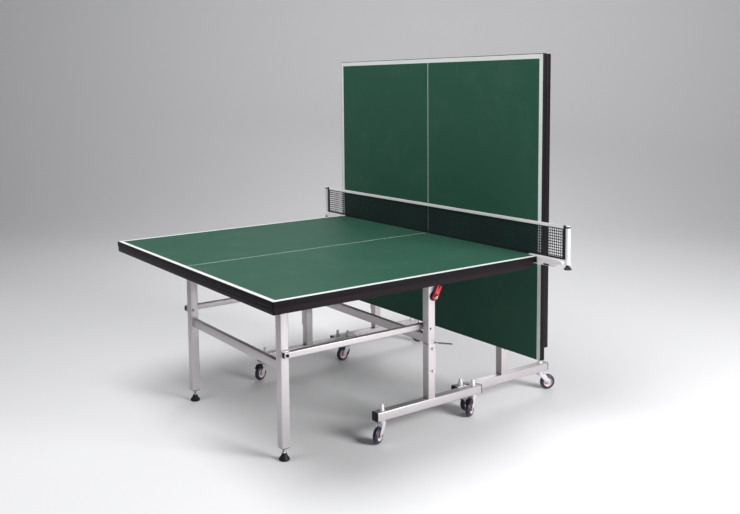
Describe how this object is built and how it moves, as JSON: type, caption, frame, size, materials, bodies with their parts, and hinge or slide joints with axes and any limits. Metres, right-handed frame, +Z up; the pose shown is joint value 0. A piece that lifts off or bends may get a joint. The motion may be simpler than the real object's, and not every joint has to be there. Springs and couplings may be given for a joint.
{
  "type": "folding ping pong table",
  "caption": "Folding two-half ping pong table on wheeled trolleys with clamped net, one half flat and the other folded upright behind the net.",
  "frame": {"origin": "centre of the footprint on the floor", "axes": "+X from the flat half's end line towards the upright half, +Y along the net, +Z up"},
  "size_m": [1.7684, 1.864, 1.65],
  "materials": {
    "green_board": "matt painted playing surface",
    "black_moulding": "satin plastic moulding",
    "black_apron": "gloss black paint on sheet steel",
    "frame_paint": "silver-lilac powder coat",
    "zinc": "zinc plated",
    "wire": "dark spring wire",
    "black_plastic": "moulded plastic",
    "red_plastic": "moulded plastic",
    "tyre": "rubber tyre on a plastic hub",
    "net_mesh": "knotted nylon mesh",
    "net_tape": "woven white tape",
    "white_paint": "white-lilac paint on a casting and tube"
  },
  "bodies": {
    "near_trolley": {"near_uprights": "frame_paint", "near_side_frames": "frame_paint", "near_trolley_crossbar": "frame_paint", "near_end_caps": "black_plastic", "near_sleeves": "frame_paint", "near_bolts": "zinc"},
    "near_top": {"near_board": "green_board", "near_edge_band": "black_moulding", "near_apron": "black_apron", "near_table_brackets": "frame_paint", "net": "net_mesh", "net_tape": "net_tape", "net_clamp_right": "white_paint", "net_clamp_left": "white_paint"},
    "far_trolley": {"far_uprights": "frame_paint", "far_side_frames": "frame_paint", "far_trolley_crossbar": "frame_paint", "far_end_caps": "black_plastic", "far_sleeves": "frame_paint", "far_bolts": "zinc"},
    "far_top": {"far_board": "green_board", "far_edge_band": "black_moulding", "far_apron": "black_apron", "far_table_brackets": "frame_paint"},
    "near_legs": {"near_legs": "frame_paint", "near_leg_crossbar": "frame_paint"},
    "near_struts": {"near_struts": "frame_paint"},
    "near_release": {"near_release_levers": "wire"},
    "near_foot_right": {"near_foot_right": "black_plastic"},
    "near_latch_right": {"near_latch_right": "red_plastic"},
    "near_foot_left": {"near_foot_left": "black_plastic"},
    "near_latch_left": {"near_latch_left": "red_plastic"},
    "near_caster_right_outer": {"near_fork_right_outer": "zinc"},
    "near_wheel_right_outer": {"near_wheel_right_outer": "tyre"},
    "near_caster_right_inner": {"near_fork_right_inner": "zinc"},
    "near_wheel_right_inner": {"near_wheel_right_inner": "tyre"},
    "near_brake_right_inner": {"near_brake_right_inner": "black_plastic"},
    "near_caster_left_outer": {"near_fork_left_outer": "zinc"},
    "near_wheel_left_outer": {"near_wheel_left_outer": "tyre"},
    "near_brake_left_outer": {"near_brake_left_outer": "black_plastic"},
    "near_caster_left_inner": {"near_fork_left_inner": "zinc"},
    "near_wheel_left_inner": {"near_wheel_left_inner": "tyre"},
    "far_legs": {"far_legs": "frame_paint", "far_leg_crossbar": "frame_paint"},
    "far_struts": {"far_struts": "frame_paint"},
    "far_release": {"far_release_levers": "wire"},
    "far_foot_right": {"far_foot_right": "black_plastic"},
    "far_latch_right": {"far_latch_right": "red_plastic"},
    "far_foot_left": {"far_foot_left": "black_plastic"},
    "far_latch_left": {"far_latch_left": "red_plastic"},
    "far_caster_right_outer": {"far_fork_right_outer": "zinc"},
    "far_wheel_right_outer": {"far_wheel_right_outer": "tyre"},
    "far_caster_right_inner": {"far_fork_right_inner": "zinc"},
    "far_wheel_right_inner": {"far_wheel_right_inner": "tyre"},
    "far_caster_left_outer": {"far_fork_left_outer": "zinc"},
    "far_wheel_left_outer": {"far_wheel_left_outer": "tyre"},
    "far_caster_left_inner": {"far_fork_left_inner": "zinc"},
    "far_wheel_left_inner": {"far_wheel_left_inner": "tyre"},
    "net_knob_right": {"net_knob_right": "black_plastic"},
    "net_knob_left": {"net_knob_left": "black_plastic"}
  },
  "joints": [
    {"name": "near_fold", "type": "hinge", "parent": "near_trolley", "child": "near_top", "pos_m": [0.05582, 0, 0.71], "axis": [0, 1, 0], "range_deg": [0, 90], "deforming": ["net", "net_tape"]},
    {"name": "far_roll", "type": "slide", "parent": "near_trolley", "child": "far_trolley", "axis": [1, 0, 0], "range_m": [0, 0.3813]},
    {"name": "far_fold", "type": "hinge", "parent": "far_trolley", "child": "far_top", "pos_m": [0.54782, 0, 0.71], "axis": [0, 1, 0], "range_deg": [0, 90]},
    {"name": "near_leg_hinge", "type": "hinge", "parent": "near_top", "child": "near_legs", "pos_m": [-0.65418, 0, 0.71], "axis": [0, 1, 0], "range_deg": [-90, 0]},
    {"name": "near_strut_pivot", "type": "hinge", "parent": "near_trolley", "child": "near_struts", "pos_m": [0.04782, 0, 0.453], "axis": [0, 1, 0], "range_deg": [0, 90]},
    {"name": "near_release_turn", "type": "hinge", "parent": "near_trolley", "child": "near_release", "pos_m": [0.07082, 0, 0.388], "axis": [0, 1, 0], "range_deg": [0, 77.01]},
    {"name": "near_foot_right_level", "type": "slide", "parent": "near_legs", "child": "near_foot_right", "axis": [0, 0, 1], "range_m": [0, 0.01]},
    {"name": "near_latch_right_turn", "type": "hinge", "parent": "near_trolley", "child": "near_latch_right", "pos_m": [0.06382, -0.517, 0.597], "axis": [0, 1, 0], "range_deg": [-40.01, 0]},
    {"name": "near_foot_left_level", "type": "slide", "parent": "near_legs", "child": "near_foot_left", "axis": [0, 0, 1], "range_m": [0, 0.01]},
    {"name": "near_latch_left_turn", "type": "hinge", "parent": "near_trolley", "child": "near_latch_left", "pos_m": [0.06382, 0.475, 0.597], "axis": [0, 1, 0], "range_deg": [-40.01, 0]},
    {"name": "near_swivel_right_outer", "type": "hinge", "parent": "near_trolley", "child": "near_caster_right_outer", "pos_m": [-0.20918, -0.517, 0.09], "axis": [0, 0, 1], "continuous": true},
    {"name": "near_spin_right_outer", "type": "hinge", "parent": "near_caster_right_outer", "child": "near_wheel_right_outer", "pos_m": [-0.24513, -0.53453, 0.0375], "axis": [0.4384, -0.8988, 0], "continuous": true},
    {"name": "near_swivel_right_inner", "type": "hinge", "parent": "near_trolley", "child": "near_caster_right_inner", "pos_m": [0.32082, -0.517, 0.09], "axis": [0, 0, 1], "range_deg": [-10, 10]},
    {"name": "near_spin_right_inner", "type": "hinge", "parent": "near_caster_right_inner", "child": "near_wheel_right_inner", "pos_m": [0.28487, -0.53453, 0.0375], "axis": [0.4384, -0.8988, 0], "continuous": true},
    {"name": "near_brake_right_inner_press", "type": "hinge", "parent": "near_caster_right_inner", "child": "near_brake_right_inner", "pos_m": [0.29206, -0.53103, 0.0805], "axis": [0.4384, -0.8988, 0], "range_deg": [-10, 1.5]},
    {"name": "near_swivel_left_outer", "type": "hinge", "parent": "near_trolley", "child": "near_caster_left_outer", "pos_m": [-0.20918, 0.475, 0.09], "axis": [0, 0, 1], "continuous": true},
    {"name": "near_spin_left_outer", "type": "hinge", "parent": "near_caster_left_outer", "child": "near_wheel_left_outer", "pos_m": [-0.24743, 0.46331, 0.0375], "axis": [0.2924, -0.9563, 0], "continuous": true},
    {"name": "near_brake_left_outer_press", "type": "hinge", "parent": "near_caster_left_outer", "child": "near_brake_left_outer", "pos_m": [-0.23978, 0.46564, 0.0805], "axis": [0.2924, -0.9563, 0], "range_deg": [-10, 1.5]},
    {"name": "near_swivel_left_inner", "type": "hinge", "parent": "near_trolley", "child": "near_caster_left_inner", "pos_m": [0.32082, 0.475, 0.09], "axis": [0, 0, 1], "range_deg": [-3, 15]},
    {"name": "near_spin_left_inner", "type": "hinge", "parent": "near_caster_left_inner", "child": "near_wheel_left_inner", "pos_m": [0.28092, 0.47221, 0.0375], "axis": [0.0698, -0.9976, 0], "continuous": true},
    {"name": "far_leg_hinge", "type": "hinge", "parent": "far_top", "child": "far_legs", "pos_m": [0.54782, 0, 1.42], "axis": [0, 1, 0], "range_deg": [-90, 0]},
    {"name": "far_strut_pivot", "type": "hinge", "parent": "far_trolley", "child": "far_struts", "pos_m": [0.55582, 0, 0.453], "axis": [0, 1, 0], "range_deg": [0, 90]},
    {"name": "far_release_turn", "type": "hinge", "parent": "far_trolley", "child": "far_release", "pos_m": [0.53282, 0, 0.388], "axis": [0, 1, 0], "range_deg": [0, 77.01]},
    {"name": "far_foot_right_level", "type": "slide", "parent": "far_legs", "child": "far_foot_right", "axis": [0, 0, 1], "range_m": [0, 0.01]},
    {"name": "far_latch_right_turn", "type": "hinge", "parent": "far_trolley", "child": "far_latch_right", "pos_m": [0.53982, 0.517, 0.597], "axis": [0, 1, 0], "range_deg": [-40.01, 0]},
    {"name": "far_foot_left_level", "type": "slide", "parent": "far_legs", "child": "far_foot_left", "axis": [0, 0, 1], "range_m": [0, 0.01]},
    {"name": "far_latch_left_turn", "type": "hinge", "parent": "far_trolley", "child": "far_latch_left", "pos_m": [0.53982, -0.475, 0.597], "axis": [0, 1, 0], "range_deg": [-40.01, 0]},
    {"name": "far_swivel_right_outer", "type": "hinge", "parent": "far_trolley", "child": "far_caster_right_outer", "pos_m": [0.81282, 0.517, 0.09], "axis": [0, 0, 1], "continuous": true},
    {"name": "far_spin_right_outer", "type": "hinge", "parent": "far_caster_right_outer", "child": "far_wheel_right_outer", "pos_m": [0.84746, 0.497, 0.0375], "axis": [0.5, 0.866, 0], "continuous": true},
    {"name": "far_swivel_right_inner", "type": "hinge", "parent": "far_trolley", "child": "far_caster_right_inner", "pos_m": [0.28282, 0.517, 0.09], "axis": [0, 0, 1], "range_deg": [0, 10]},
    {"name": "far_spin_right_inner", "type": "hinge", "parent": "far_caster_right_inner", "child": "far_wheel_right_inner", "pos_m": [0.32282, 0.517, 0.0375], "axis": [0, 1, 0], "continuous": true},
    {"name": "far_swivel_left_outer", "type": "hinge", "parent": "far_trolley", "child": "far_caster_left_outer", "pos_m": [0.81282, -0.475, 0.09], "axis": [0, 0, 1], "continuous": true},
    {"name": "far_spin_left_outer", "type": "hinge", "parent": "far_caster_left_outer", "child": "far_wheel_left_outer", "pos_m": [0.84907, -0.4919, 0.0375], "axis": [0.4226, 0.9063, 0], "continuous": true},
    {"name": "far_swivel_left_inner", "type": "hinge", "parent": "far_trolley", "child": "far_caster_left_inner", "pos_m": [0.28282, -0.475, 0.09], "axis": [0, 0, 1], "range_deg": [0, 10]},
    {"name": "far_spin_left_inner", "type": "hinge", "parent": "far_caster_left_inner", "child": "far_wheel_left_inner", "pos_m": [0.32282, -0.475, 0.0375], "axis": [0, 1, 0], "continuous": true},
    {"name": "net_knob_right_turn", "type": "hinge", "parent": "near_top", "child": "net_knob_right", "pos_m": [0.49182, -0.915, 0.73], "axis": [0, 0, 1], "continuous": true},
    {"name": "net_knob_left_turn", "type": "hinge", "parent": "near_top", "child": "net_knob_left", "pos_m": [0.49182, 0.915, 0.73], "axis": [0, 0, 1], "continuous": true}
  ],
  "couplings": [
    {"joint": "far_roll", "follows": "far_fold", "m_per_rad": 0.2427},
    {"joint": "near_leg_hinge", "follows": "near_fold", "ratio": -1},
    {"joint": "near_strut_pivot", "follows": "near_fold", "ratio": 1},
    {"joint": "near_release_turn", "follows": "near_fold", "ratio": 0.85556},
    {"joint": "near_latch_right_turn", "follows": "near_fold", "ratio": -0.44444},
    {"joint": "near_latch_left_turn", "follows": "near_fold", "ratio": -0.44444},
    {"joint": "far_leg_hinge", "follows": "far_fold", "ratio": -1},
    {"joint": "far_strut_pivot", "follows": "far_fold", "ratio": 1},
    {"joint": "far_release_turn", "follows": "far_fold", "ratio": 0.85556},
    {"joint": "far_latch_right_turn", "follows": "far_fold", "ratio": -0.44444},
    {"joint": "far_latch_left_turn", "follows": "far_fold", "ratio": -0.44444}
  ]
}
